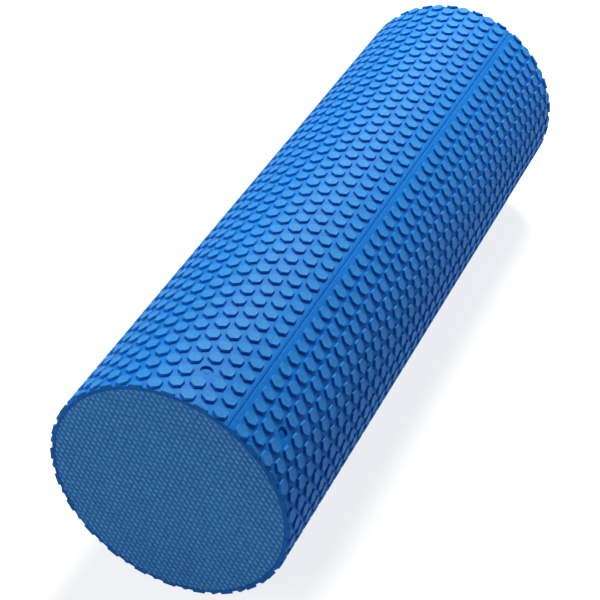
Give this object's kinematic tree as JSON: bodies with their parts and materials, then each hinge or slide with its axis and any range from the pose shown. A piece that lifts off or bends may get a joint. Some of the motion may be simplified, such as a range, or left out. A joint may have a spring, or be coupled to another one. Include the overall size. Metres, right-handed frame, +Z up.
{
  "type": "foam roller",
  "caption": "Solid foam massage roller: a cylinder wrapped in a sheet of raised hexagonal studs, with a lengthwise butt seam and flat pip-grained ends.",
  "frame": {"origin": "on the floor under the middle of the roller, which lies on its side", "axes": "+Y along the roller's axis towards its rear end, +Z up, +X to the right seen from the front end"},
  "size_m": [0.143, 0.45, 0.143],
  "materials": {
    "skin_foam": "satin moulded foam skin",
    "pad_foam": "matte foam with a fine pip grain",
    "core_foam": "matte cut foam"
  },
  "bodies": {
    "root": {"foam_core": "core_foam", "textured_skin": "skin_foam", "front_end_pad": "pad_foam", "rear_end_pad": "pad_foam"}
  },
  "joints": []
}
